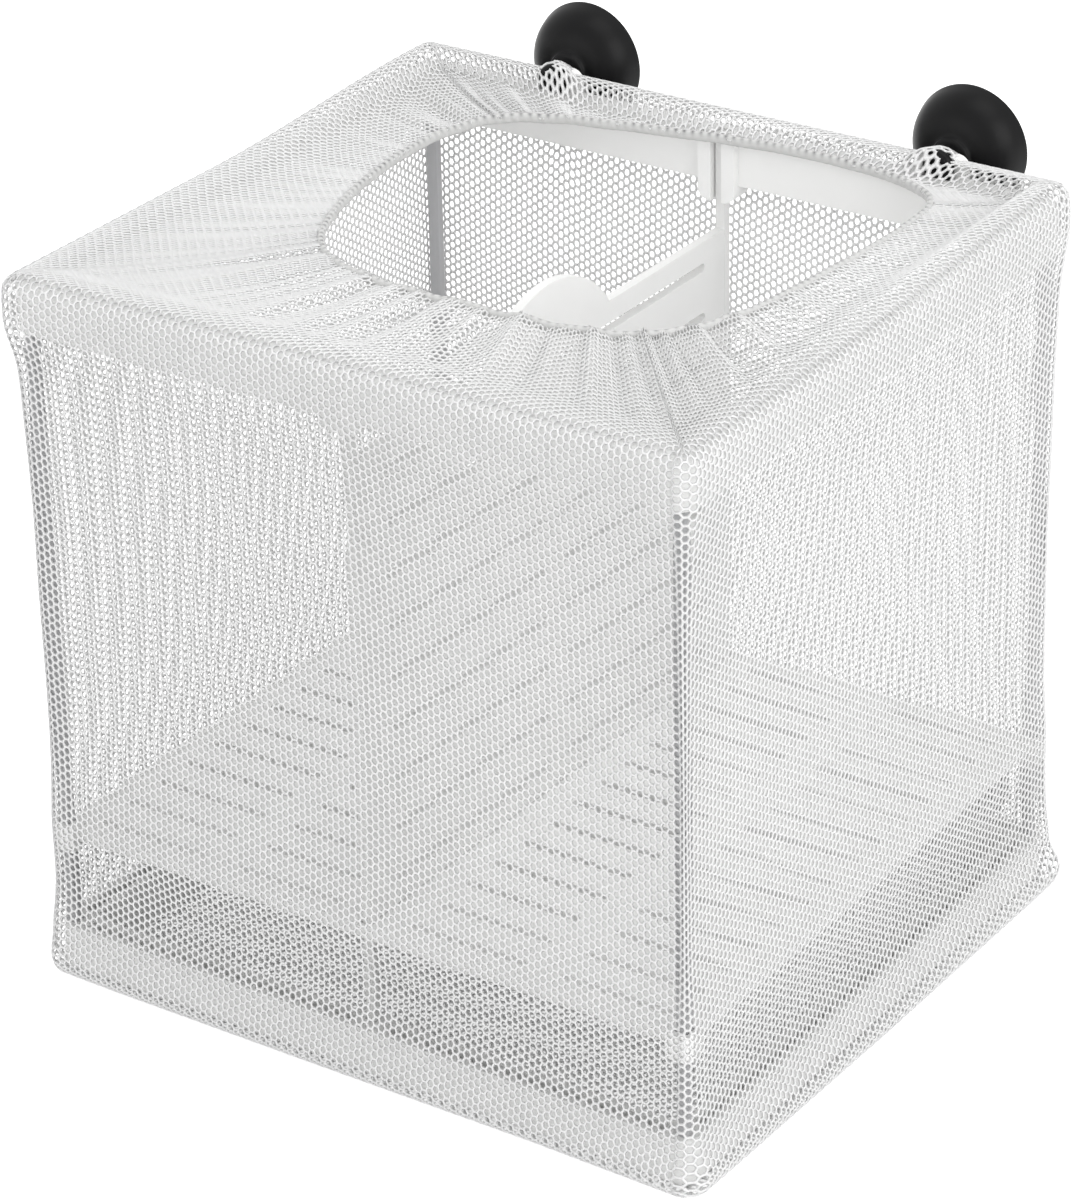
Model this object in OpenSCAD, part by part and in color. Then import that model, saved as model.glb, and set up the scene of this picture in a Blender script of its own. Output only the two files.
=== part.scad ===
// Fish breeding box: a net bag on two moulded rings joined by four corner posts,
// with a slotted floor that slides on the posts, a lift-out slotted divider
// and four suction cups on the glass side.
// Width runs along X, depth along Y with the glass side at +Y, and Z is up.
// The origin is the middle of the bottom net's underside.

/* [Overall size] */
// Outer width of the net bag
box_w = 168.8; // [150:0.2:220]
// Outer depth of the net bag
box_d = 153.8; // [140:0.2:210]
// Height from the underside of the bottom net to the top net
box_h = 170; // [150:1:240]

/* [Net bag] */
// Thickness of the net with its stretch
net_t = 0.6; // [0.4:0.1:1]
// Slack between the net and the frame
net_gap = 0.3; // [0.3:0.1:0.8]
// Width of the elastic mouth
mouth_w = 112; // [90:1:126]
// Depth of the elastic mouth
mouth_d = 102; // [84:1:106]
// Radius of the elastic mouth's corners
mouth_r = 38; // [25:1:40]
// Radius of its tighter corner, at the right rear
mouth_rear_r = 10; // [6:1:25]
// How far the mouth sits to the right of the middle
mouth_x = 5; // [0:1:8]
// How far the mouth sits behind the middle
mouth_y = 14; // [0:1:14]
// Width of the elastic hem
hem_w = 2.4; // [2:0.1:4]
// Height of the elastic hem
hem_h = 1.6; // [1.2:0.1:3]
// Openings across a net panel, which stand for its much finer holes
mesh_count = 12; // [6:1:12]
// Width of net left between two openings
mesh_web = 4; // [2:0.5:5]
// Net left plain next to the rings and at a panel's sides
mesh_edge = 6; // [5.5:0.5:10]

/* [Rings] */
// Height of each moulded ring
ring_h = 12.1; // [11:0.1:18]
// Width of each bar of a ring
bar_w = 6; // [5.6:0.1:8]
// Wall thickness of the moulded channel
ring_wall = 1.8; // [1.4:0.1:2]
// Outer corner radius of a ring in plan
corner_r = 4; // [3.5:0.1:4.5]
// Radius along the outer edge of a ring
edge_r = 2.2; // [1:0.1:3]
// Distance between the stiffening ribs in the channel
rib_pitch = 22; // [14:1:40]
// Thickness of a stiffening rib
rib_t = 1.2; // [0.8:0.1:2]
// How far the corner bosses stand in from the bars
boss_out = 1.5; // [1:0.1:3]

/* [Corner posts] */
// Side of a square corner post
post_side = 2.8; // [2.4:0.1:3]
// Radius along the edges of a post
post_r = 0.6; // [0.3:0.1:0.9]
// Distance from the ring's outer face to the middle of a post
post_inset = 2.9; // [2.8:0.1:3.2]
// Depth of a post's socket in a ring
socket_depth = 9; // [6:0.5:10]
// Clearance of a post in its socket, each side
socket_clear = 0.05; // [0.02:0.01:0.1]

/* [Divider] */
// Thickness of the divider plate
divider_t = 2.2; // [1.8:0.1:2.5]
// Height of the divider plate's top edge above the bottom net
divider_top = 146; // [120:1:148]
// Side to side thickness of the divider's end posts
end_post_t = 2.5; // [2.5:0.1:3]
// Front to back depth of the divider's end posts
end_post_d = 2.6; // [2.2:0.1:3]
// How far the end posts reach into the line of the ring bars
end_post_in = 2.2; // [1.5:0.1:2.4]
// Clearance of the divider in its guides, each side
divider_clear = 0.2; // [0.15:0.05:0.4]
// Width of a guide block on a ring
guide_w = 9.4; // [8:0.1:14]
// How far a guide block stands in from the ring's bar
guide_out = 2; // [1.5:0.1:3]
// How far the upper guide blocks hang below the ring
guide_drop = 4; // [3.2:0.1:8]
// Corner radius at a guide block's free end
guide_r = 2.6; // [1:0.1:3]
// Width of the finger grip along the divider's top edge
grip_w = 46; // [30:1:56]
// Height of the finger grip
grip_h = 12.5; // [8:0.5:14]
// Height of a slot in the divider
div_slot_h = 2; // [1.5:0.1:3]
// Distance from one slot row of the divider to the next
div_slot_pitch = 12; // [8:0.5:20]
// Plain margin between the end posts and the divider's slots
div_margin = 8; // [5:0.5:14]
// Web between the divider's two slot columns
div_web = 7; // [4:0.5:14]
// Plain margin below the first slot row of the divider
div_foot = 6.4; // [4:0.2:14]
// Depth of a leg's seat in the bottom ring
leg_seat = 10; // [6:0.5:10]

/* [Floor] */
// Height of the floor's upper face above the bottom net
floor_top = 37.2; // [30:0.2:60]
// Thickness of the floor plate
floor_t = 1.8; // [1.4:0.1:3]
// Height of the rim round the floor
floor_rim_h = 3.2; // [2.4:0.1:5]
// Width of the rim round the floor
floor_rim_w = 1.3; // [1:0.1:1.6]
// Distance from the ring's outer face to the floor's edge
floor_inset = 2.2; // [2:0.1:2.4]
// Width of a slot in the floor
floor_slot_w = 2; // [1.5:0.1:3]
// Distance from one slot row of the floor to the next
floor_slot_pitch = 10.4; // [8:0.1:20]
// Plain margin left and right of the floor's slots
floor_margin = 6; // [5:0.5:12]
// Plain margin in front of and behind the floor's slot rows
floor_end_margin = 4.4; // [3.4:0.1:12]
// Web between the floor's slot columns
floor_web = 8.5; // [4:0.5:14]
// Width of the plain strip under the divider
floor_mid = 17; // [8:0.5:24]
// Height of the floor's corner collars
collar_h = 6.4; // [5:0.2:12]
// Wall of a corner collar
collar_wall = 1.6; // [1:0.1:2]
// Corner radius of a collar where the net bears on it
collar_r = 2; // [0.5:0.1:2.2]
// Clearance of a collar on its post, each side
collar_clear = 0.15; // [0.1:0.05:0.3]

/* [Suction cups] */
// Diameter of a suction cup's rim
cup_d = 28; // [26:1:30]
// Height of a suction cup from its collar to its rim
cup_h = 10; // [8:0.5:14]
// Half the distance between two suction cups of a ring
cup_x = 50; // [35:1:50]
// How far the suction cups sit to the right of the middle
cup_shift = 4; // [0:0.5:4]
// Height of a cup's middle above the lower edge of its ring
cup_rise = 14.3; // [14.2:0.1:16]
// Diameter of a cup's neck
neck_d = 4.4; // [3.6:0.1:5]
// Clearance of a neck in its ear, each side
neck_clear = 0.1; // [0.05:0.05:0.2]
// Diameter of a cup's mushroom head
head_d = 8.6; // [7:0.1:9]
// Thickness of a cup's mushroom head
head_t = 2.2; // [1.5:0.1:3]
// Diameter of a cup's collar behind the net
hub_d = 9.2; // [8:0.1:12]
// Height of the raised ring round a cup's collar
crease_h = 0.5; // [0.2:0.1:0.8]
// Width of an ear on a ring
ear_w = 12; // [11:0.5:16]
// Thickness of an ear
ear_t = 2.4; // [2:0.1:3]
// How far an ear rises above the cup's middle
ear_top = 2.3; // [2:0.1:3]
// Corner radius of an ear
ear_r = 3; // [1:0.1:4]

/* [Hidden] */

PLASTIC = [0.95, 0.95, 0.94];
POST_GREY = [0.78, 0.78, 0.79];
RUBBER = [0.06, 0.06, 0.06];
NET = [0.97, 0.97, 0.97, 0.35];
HEM = [0.93, 0.93, 0.93];

eps = 0.01;
soft_clear = 0.3;
net_layer = net_t + net_gap;

// Frame inside the net
frame_w = box_w - 2 * net_layer;
frame_d = box_d - 2 * net_layer;
lower_z = net_layer;
lower_top = lower_z + ring_h;
upper_z = box_h - net_layer - ring_h;
upper_top = upper_z + ring_h;
inner_y = frame_d / 2 - bar_w;
post_x = frame_w / 2 - post_inset;
post_y = frame_d / 2 - post_inset;
post_foot = lower_top - socket_depth + soft_clear;
post_head = upper_z + socket_depth - soft_clear;
corner_block = bar_w + boss_out;

// Divider
end_y = inner_y + end_post_in;
guide_y = inner_y - guide_out;
guide_back = frame_d / 2 - ring_wall + 0.2;
guide_slot = end_post_t + 2 * divider_clear;
plate_foot = floor_top + soft_clear;
leg_foot = lower_top - leg_seat + soft_clear;
end_post_top = upper_top - 0.5;
div_run = 2 * (end_y - end_post_d);
div_slot_len = (div_run - 2 * div_margin - div_web) / 2;
div_rows = floor((divider_top - plate_foot - 2 * div_foot + div_slot_pitch / 2) / div_slot_pitch) + 1;
grip_radius = (grip_w * grip_w / 4 + grip_h * grip_h) / (2 * grip_h);

// Floor
floor_x = frame_w / 2 - floor_inset;
floor_y = frame_d / 2 - floor_inset;
floor_slot_len = (floor_x - floor_mid / 2 - floor_margin - floor_web) / 2;
floor_rows = floor((2 * floor_y - 2 * floor_end_margin - floor_slot_w) / floor_slot_pitch) + 1;
leg_hole_w = end_post_t + 2 * divider_clear;
leg_hole_d = end_post_d + 2 * divider_clear;
collar_top = floor_top + 1.2;
collar_in = post_side / 2 + collar_clear;
collar_edge = 0.2;

// Suction cups
ear_y = frame_d / 2 - ear_t;
head_y = ear_y - 0.2 - head_t;
neck_len = 0.2 + ear_t + 2 * net_layer - net_t;
hub_z = head_t + neck_len;
hub_t = 1.4;
dome_z = hub_z + hub_t;
rim_z = hub_z + cup_h;
lip_w = 0.5;
dome_r = cup_d / 2 - lip_w;
lip_z = rim_z - 1.3;
bowl_r = dome_r - 1;
bowl_z = hub_z + hub_t + 2;
upper_cup_z = upper_z + cup_rise;
lower_cup_z = lower_z + cup_rise;

// Flat outline of a rectangle with round corners
module round_rect(w, d, r) {
    square([w - 2 * r, d], center = true);
    square([w, d - 2 * r], center = true);
    for (sx = [-1, 1], sy = [-1, 1])
        translate([sx * (w / 2 - r), sy * (d / 2 - r)]) circle(r, $fn = 48);
}

// Flat slot with round ends, long along X
module slot_shape(len, w) {
    square([len - w, w], center = true);
    for (s = [-1, 1])
        translate([s * (len - w) / 2, 0]) circle(w / 2, $fn = 32);
}

// Section of a ring bar: X runs outwards from the inner face, Y runs up
// to the closed side, and the channel is open below
module bar_section() {
    difference() {
        union() {
            square([bar_w - edge_r, ring_h]);
            square([bar_w, ring_h - edge_r]);
            translate([bar_w - edge_r, ring_h - edge_r]) circle(edge_r, $fn = 48);
        }
        translate([ring_wall, -1]) square([bar_w - 2 * ring_wall, ring_h - ring_wall + 1]);
    }
}

// One bar of a ring, centred along X with its outer face towards +Y
module bar(len) {
    rotate([90, 0, 90]) linear_extrude(len, center = true) bar_section();
    rib_count = floor((len / 2 - rib_pitch / 2) / rib_pitch) + 1;
    for (i = [0:rib_count - 1], s = [-1, 1])
        translate([s * (i + 0.5) * rib_pitch - rib_t / 2, ring_wall / 2, ring_wall])
            cube([rib_t, bar_w - ring_wall, ring_h - 1.5 * ring_wall]);
}

// Solid rounded corner with the boss that takes a post
module ring_corner() {
    translate([frame_w / 2 - corner_r, frame_d / 2 - corner_r, 0])
        rotate_extrude(angle = 90, $fn = 64) {
            square([corner_r - edge_r, ring_h]);
            square([corner_r, ring_h - edge_r]);
            translate([corner_r - edge_r, ring_h - edge_r]) intersection() {
                circle(edge_r, $fn = 48);
                square(edge_r);
            }
        }
    block_h = ring_h - ring_wall / 2;
    translate([frame_w / 2 - corner_block, frame_d / 2 - corner_block, 0])
        cube([corner_block - corner_r, corner_block - ring_wall / 2, block_h]);
    translate([frame_w / 2 - corner_r - eps, frame_d / 2 - corner_block, 0])
        cube([corner_r - ring_wall / 2, corner_block - corner_r, block_h]);
}

// Ring body with its closed side up and its open side at z = 0
module ring_body() {
    difference() {
        union() {
            for (turn = [0, 180])
                rotate([0, 0, turn]) translate([0, frame_d / 2 - bar_w, 0])
                    bar(frame_w - 2 * corner_r);
            for (turn = [90, -90])
                rotate([0, 0, turn]) translate([0, frame_w / 2 - bar_w, 0])
                    bar(frame_d - 2 * corner_r);
            for (mx = [0, 1], my = [0, 1])
                mirror([mx, 0, 0]) mirror([0, my, 0]) ring_corner();
        }
        for (sx = [-1, 1], sy = [-1, 1])
            translate([sx * post_x, sy * post_y, -1])
                linear_extrude(socket_depth + 1) square(post_side + 2 * socket_clear, center = true);
    }
}

// Guide block at the middle of the front and rear bars, from z0 to z1,
// with its round corners at the low or the high end
module guide_blocks(z0, z1, round_end) {
    for (turn = [0, 180])
        rotate([0, 0, turn]) translate([0, guide_back, 0]) rotate([90, 0, 0])
            linear_extrude(guide_back - guide_y) {
                square_z0 = round_end < 0 ? z0 + guide_r : z0;
                square_z1 = round_end > 0 ? z1 - guide_r : z1;
                free_z = round_end < 0 ? z0 + guide_r : z1 - guide_r;
                translate([-guide_w / 2, square_z0]) square([guide_w, square_z1 - square_z0]);
                translate([guide_r - guide_w / 2, z0]) square([guide_w - 2 * guide_r, z1 - z0]);
                for (s = [-1, 1])
                    translate([s * (guide_w / 2 - guide_r), free_z]) circle(guide_r, $fn = 48);
            }
}

// Grooves that the divider's ends slide in, open to the inside of the box
module guide_grooves(z0, z1) {
    groove_y = end_y + divider_clear;
    for (turn = [0, 180])
        rotate([0, 0, turn])
            translate([-guide_slot / 2, guide_y - 1, z0])
                cube([guide_slot, groove_y - guide_y + 1, z1 - z0]);
}

// Ear on the rear bar with the snap-in notch for a cup's neck
module cup_ears(z0, axis_z) {
    for (s = [-1, 1])
        translate([cup_shift + s * cup_x, ear_y + ear_t, 0]) rotate([90, 0, 0])
            linear_extrude(ear_t) difference() {
                union() {
                    translate([-ear_w / 2, z0]) square([ear_w, axis_z + ear_top - ear_r - z0]);
                    translate([ear_r - ear_w / 2, z0]) square([ear_w - 2 * ear_r, axis_z + ear_top - z0]);
                    for (e = [-1, 1])
                        translate([e * (ear_w / 2 - ear_r), axis_z + ear_top - ear_r]) circle(ear_r, $fn = 48);
                }
                translate([0, axis_z]) circle(neck_d / 2 + neck_clear, $fn = 48);
                translate([-0.41 * neck_d, axis_z]) square([0.82 * neck_d, ear_top + 1]);
            }
}

// Room behind each ear for the mushroom head where it dips into the bar
module head_pockets(axis_z) {
    for (s = [-1, 1])
        translate([cup_shift + s * cup_x, head_y - 0.2, axis_z]) rotate([-90, 0, 0])
            cylinder(h = ear_y - head_y + 0.2, r = head_d / 2 + 0.3, $fn = 48);
}

module top_ring() {
    color(PLASTIC) {
        difference() {
            union() {
                translate([0, 0, upper_z]) ring_body();
                guide_blocks(upper_z - guide_drop, upper_top - ring_wall / 2, -1);
            }
            guide_grooves(upper_z - guide_drop - 1, upper_top + 1);
            head_pockets(upper_cup_z);
        }
        cup_ears(upper_top - ring_wall - edge_r, upper_cup_z);
    }
}

module bottom_ring() {
    color(PLASTIC) {
        difference() {
            union() {
                translate([0, 0, lower_top]) mirror([0, 0, 1]) ring_body();
                guide_blocks(lower_z + ring_wall / 2, lower_top, 1);
            }
            guide_grooves(lower_top - leg_seat, lower_top + 1);
            head_pockets(lower_cup_z);
        }
        cup_ears(lower_z + ring_wall, lower_cup_z);
    }
}

module corner_post(sx, sy) {
    color(POST_GREY) translate([sx * post_x, sy * post_y, post_foot])
        linear_extrude(post_head - post_foot) round_rect(post_side, post_side, post_r);
}

// Square collar that rides on a post, at the right rear corner
module collar() {
    outer_x = frame_w / 2 - collar_edge;
    outer_y = frame_d / 2 - collar_edge;
    inner = collar_in + collar_wall;
    len_x = outer_x - post_x + inner;
    len_y = outer_y - post_y + inner;
    translate([post_x - inner, post_y - inner, collar_top - collar_h]) linear_extrude(collar_h) {
        square([len_x - collar_r, len_y]);
        square([len_x, len_y - collar_r]);
        translate([len_x - collar_r, len_y - collar_r]) circle(collar_r, $fn = 48);
    }
}

module floor_grid() {
    color(PLASTIC) difference() {
        union() {
            translate([0, 0, floor_top - floor_t]) linear_extrude(floor_t)
                square([2 * floor_x, 2 * floor_y], center = true);
            translate([0, 0, floor_top + 0.4 - floor_rim_h]) linear_extrude(floor_rim_h) difference() {
                square([2 * floor_x, 2 * floor_y], center = true);
                square([2 * (floor_x - floor_rim_w), 2 * (floor_y - floor_rim_w)], center = true);
            }
            for (mx = [0, 1], my = [0, 1])
                mirror([mx, 0, 0]) mirror([0, my, 0]) collar();
        }
        // slots
        for (row = [0:floor_rows - 1], side = [-1, 1], col = [0, 1])
            translate([side * (floor_mid / 2 + floor_slot_len / 2 + col * (floor_slot_len + floor_web)),
                       (row - (floor_rows - 1) / 2) * floor_slot_pitch, floor_top - floor_t - 1])
                linear_extrude(floor_t + 2) slot_shape(floor_slot_len, floor_slot_w);
        // holes for the divider's legs
        for (s = [-1, 1])
            translate([-leg_hole_w / 2, s * (end_y - end_post_d / 2) - leg_hole_d / 2, floor_top - 5])
                cube([leg_hole_w, leg_hole_d, 10]);
        // passages for the corner posts
        for (sx = [-1, 1], sy = [-1, 1])
            translate([sx * post_x, sy * post_y, collar_top - collar_h - 1])
                linear_extrude(collar_h + 2) square(2 * collar_in, center = true);
        // room for the underside of the divider along the rim
        translate([-divider_t / 2 - 0.4, -floor_y - 1, floor_top])
            cube([divider_t + 0.8, 2 * floor_y + 2, 1]);
    }
}

module divider_panel() {
    color(PLASTIC) {
        difference() {
            union() {
                translate([-divider_t / 2, -end_y + end_post_d / 2, plate_foot])
                    cube([divider_t, 2 * end_y - end_post_d, divider_top - plate_foot]);
                // finger grip, a disc cut by the plate's top edge
                intersection() {
                    translate([-divider_t / 2, 0, divider_top + grip_h - grip_radius])
                        rotate([0, 90, 0]) cylinder(h = divider_t, r = grip_radius, $fn = 128);
                    translate([-divider_t, -grip_w, divider_top - 2])
                        cube([2 * divider_t, 2 * grip_w, grip_h + 4]);
                }
            }
            for (row = [0:div_rows - 1], s = [-1, 1])
                translate([-divider_t, s * (div_web + div_slot_len) / 2,
                           plate_foot + div_foot + row * div_slot_pitch])
                    rotate([90, 0, 90]) linear_extrude(2 * divider_t) slot_shape(div_slot_len, div_slot_h);
        }
        for (s = [-1, 1])
            translate([0, s * (end_y - end_post_d / 2), leg_foot])
                linear_extrude(end_post_top - leg_foot) round_rect(end_post_t, end_post_d, 0.5);
    }
}

// Point of the dome's outer curve, from its root at a = 0 to its lip at a = 90
function dome_point(a) = [hub_d / 2 + (dome_r - hub_d / 2) * sin(a), dome_z + (lip_z - dome_z) * (1 - cos(a))];

// Suction cup about its own axis, from the mushroom head at z = 0 to the rim
module cup_body() {
    head_r = head_d / 2;
    hub_r = hub_d / 2;
    rotate_extrude($fn = 96) polygon(concat(
        [[0, 0], [head_r - 1, 0]],
        [for (a = [15:15:90]) [head_r - 1 + sin(a), 1 - cos(a)]],
        [[head_r, head_t], [neck_d / 2, head_t], [neck_d / 2, hub_z], [hub_r, hub_z]],
        [for (a = [0:3:27]) dome_point(a) - [0, crease_h * max(0, cos(10 * (a - 18)))]],
        [for (a = [36:9:81]) dome_point(a)],
        [[dome_r, lip_z], [cup_d / 2, rim_z - 0.8], [cup_d / 2, rim_z]],
        [for (a = [90:-9:0]) [bowl_r * sin(a), bowl_z + (rim_z - bowl_z) * (1 - cos(a))]]
    ));
}

module suction_cup(x, axis_z) {
    color(RUBBER) translate([x, head_y, axis_z]) rotate([-90, 0, 0]) cup_body();
}

// Flat outline of a net panel, with a plain grid of openings inside its edges
module net_panel(w, h, edge_x, edge_y) {
    cell_x = (w - 2 * edge_x) / mesh_count;
    cell_y = (h - 2 * edge_y) / mesh_count;
    last = (mesh_count - 1) / 2;
    difference() {
        square([w, h], center = true);
        for (i = [-last:last], j = [-last:last])
            translate([i * cell_x, j * cell_y])
                square([cell_x - mesh_web, cell_y - mesh_web], center = true);
    }
}

// Side panel of the net, standing between the bottom net and the top cover,
// with its openings between the rings
module net_wall(w) {
    translate([0, 0, box_h / 2]) rotate([90, 0, 0]) linear_extrude(net_t)
        net_panel(w, box_h - 2 * net_t, mesh_edge, net_gap + ring_h + mesh_edge);
}

// Round holes where the cups' necks pass through the net
module neck_holes(d) {
    for (s = [-1, 1], z = [lower_cup_z, upper_cup_z])
        translate([cup_shift + s * cup_x, frame_d / 2 + net_gap / 2, z]) rotate([-90, 0, 0])
            cylinder(h = d, r = neck_d / 2 + soft_clear, $fn = 48);
}

module net_front() {
    color(NET) rotate([0, 0, 180]) translate([0, box_d / 2, 0]) net_wall(box_w - 2 * net_t);
}

module net_rear() {
    color(NET) difference() {
        translate([0, box_d / 2, 0]) net_wall(box_w - 2 * net_t);
        neck_holes(2);
    }
}

module net_left() {
    color(NET) rotate([0, 0, 90]) translate([0, box_w / 2, 0]) net_wall(box_d);
}

module net_right() {
    color(NET) rotate([0, 0, -90]) translate([0, box_w / 2, 0]) net_wall(box_d);
}

module net_bottom() {
    under_ring = net_layer + bar_w + mesh_edge;
    color(NET) linear_extrude(net_t) net_panel(box_w, box_d, under_ring, under_ring);
}

// Flat outline of the mouth, drawn in from its edge by inset
module mouth_outline(inset) {
    w = mouth_w - 2 * inset;
    d = mouth_d - 2 * inset;
    r = mouth_r - inset;
    rear_r = mouth_rear_r - inset;
    straight = r - rear_r;
    translate([mouth_x, mouth_y]) {
        round_rect(w, d, r);
        translate([w / 2 - r, d / 2 - r]) {
            square([straight, r]);
            square([r, straight]);
            translate([straight, straight]) circle(rear_r, $fn = 48);
        }
    }
}

module net_top_cover() {
    ear_gap = ear_w / 2 + soft_clear;
    color(NET) difference() {
        translate([-box_w / 2, -box_d / 2, box_h - net_t]) cube([box_w, box_d, net_t]);
        translate([0, 0, box_h - 2 * net_t]) linear_extrude(3 * net_t) mouth_outline(0);
        for (s = [-1, 1])
            translate([cup_shift + s * cup_x - ear_gap, head_y - soft_clear, box_h - 2 * net_t])
                cube([2 * ear_gap, box_d, 3 * net_t]);
    }
}

module elastic_hem() {
    color(HEM) translate([0, 0, box_h - net_t / 2 - hem_h / 2]) linear_extrude(hem_h)
        difference() {
            mouth_outline(0);
            mouth_outline(hem_w);
        }
}

module post_front_left() { corner_post(-1, -1); }
module post_front_right() { corner_post(1, -1); }
module post_rear_left() { corner_post(-1, 1); }
module post_rear_right() { corner_post(1, 1); }
module suction_cup_top_left() { suction_cup(cup_shift - cup_x, upper_cup_z); }
module suction_cup_top_right() { suction_cup(cup_shift + cup_x, upper_cup_z); }
module suction_cup_bottom_left() { suction_cup(cup_shift - cup_x, lower_cup_z); }
module suction_cup_bottom_right() { suction_cup(cup_shift + cup_x, lower_cup_z); }

top_ring();
bottom_ring();
post_front_left();
post_front_right();
post_rear_left();
post_rear_right();
floor_grid();
divider_panel();
suction_cup_top_left();
suction_cup_top_right();
suction_cup_bottom_left();
suction_cup_bottom_right();
net_front();
net_rear();
net_left();
net_right();
net_bottom();
net_top_cover();
elastic_hem();
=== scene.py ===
import sys
import logging
import math
from dataclasses import dataclass, field
from enum import Enum
from typing import Any, Iterable

import bpy
import numpy as np
from mathutils import Matrix, Vector


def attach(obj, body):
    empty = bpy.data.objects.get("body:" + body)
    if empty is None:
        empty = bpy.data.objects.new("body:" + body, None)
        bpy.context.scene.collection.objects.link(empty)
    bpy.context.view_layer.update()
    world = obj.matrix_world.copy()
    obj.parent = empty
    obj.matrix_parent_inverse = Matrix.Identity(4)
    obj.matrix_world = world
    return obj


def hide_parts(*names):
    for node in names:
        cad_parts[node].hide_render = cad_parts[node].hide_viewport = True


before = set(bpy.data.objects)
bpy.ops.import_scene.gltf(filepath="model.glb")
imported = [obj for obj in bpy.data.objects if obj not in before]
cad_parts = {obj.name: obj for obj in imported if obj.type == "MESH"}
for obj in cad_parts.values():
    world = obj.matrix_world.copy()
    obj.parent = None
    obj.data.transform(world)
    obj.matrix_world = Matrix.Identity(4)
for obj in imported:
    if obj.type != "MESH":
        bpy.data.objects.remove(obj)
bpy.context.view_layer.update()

LOG = logging.getLogger("breeding_box")
MM = 0.001


# ---- small helpers


def srgb(code: str) -> tuple[float, float, float, float]:
    """Turns an sRGB hex colour into the linear colour that a shader takes.

    Args:
        code: Six hex digits, such as "F2F2F0".

    Returns:
        Red, green, blue and an alpha of one.
    """
    parts = [int(code[i : i + 2], 16) / 255 for i in (0, 2, 4)]
    flat = [p / 12.92 if p <= 0.04045 else ((p + 0.055) / 1.055) ** 2.4 for p in parts]
    return (flat[0], flat[1], flat[2], 1.0)


def add_node(
    tree: bpy.types.NodeTree, kind: str, inputs: dict[Any, Any] | None = None, **settings: Any
) -> Any:
    """Adds a node with its settings, constants and links.

    Args:
        tree: The node tree that gets the node.
        kind: The node's type, such as "ShaderNodeTexNoise".
        inputs: A constant or another node's output for each input, by name or number.
        **settings: The node's own properties.

    Returns:
        The new node.
    """
    node = tree.nodes.new(kind)
    for name, value in settings.items():
        setattr(node, name, value)
    for key, value in (inputs or {}).items():
        if isinstance(value, bpy.types.NodeSocket):
            tree.links.new(value, node.inputs[key])
        else:
            node.inputs[key].default_value = value
    return node


def new_material(name: str) -> tuple[bpy.types.Material, bpy.types.NodeTree]:
    """Makes a material whose node tree is still empty.

    Args:
        name: The material's name.

    Returns:
        The material and its node tree.
    """
    mat = bpy.data.materials.new(name)
    mat.use_nodes = True
    mat.node_tree.nodes.clear()
    return mat, mat.node_tree


def deselect() -> None:
    """Clears the selection, which an operator would otherwise act on."""
    bpy.ops.object.select_all(action="DESELECT")


def smoothstep(x: np.ndarray) -> np.ndarray:
    """A soft step from 0 at x = 0 to 1 at x = 1."""
    x = np.clip(x, 0, 1)
    return x * x * (3 - 2 * x)


def ramp(place: np.ndarray, start: float, length: float) -> np.ndarray:
    """A soft step from 0 at start to 1 a length further on, both in mm; a negative length runs back."""
    return smoothstep((place / MM - start) / length)


def mesh_object(name: str, points: np.ndarray, faces: Iterable[np.ndarray]) -> bpy.types.Object:
    """Makes a mesh object from arrays.

    Args:
        name: The object's name.
        points: The vertices, one row each, in metres.
        faces: Arrays of vertex numbers, one array for each count of corners.

    Returns:
        The new object, which sits at the origin.
    """
    faces = [f for f in faces if len(f)]
    corners = np.concatenate([f.ravel() for f in faces]).astype(np.int32)
    sizes = np.concatenate([np.full(len(f), f.shape[1]) for f in faces]).astype(np.int32)
    starts = np.concatenate([[0], np.cumsum(sizes)[:-1]]).astype(np.int32)
    mesh = bpy.data.meshes.new(name)
    mesh.vertices.add(len(points))
    mesh.vertices.foreach_set("co", np.ascontiguousarray(points, dtype=np.float32).ravel())
    mesh.loops.add(len(corners))
    mesh.loops.foreach_set("vertex_index", corners)
    mesh.polygons.add(len(sizes))
    mesh.polygons.foreach_set("loop_start", starts)
    mesh.update(calc_edges=True)
    mesh.validate()
    piece = bpy.data.objects.new(name, mesh)
    bpy.context.scene.collection.objects.link(piece)
    return piece


def report(piece: bpy.types.Object) -> None:
    """Logs a piece's name and its number of triangles."""
    count = sum(len(p.vertices) - 2 for p in piece.data.polygons)
    LOG.info("%s: %d triangles", piece.name, count)


# ---- finishes


class Slot(Enum):
    """The record's material slots."""

    PLASTIC = "white_plastic"
    POST = "grey_plastic"
    RUBBER = "black_rubber"
    NET = "white_mesh"
    HEM = "white_hem"


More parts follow.
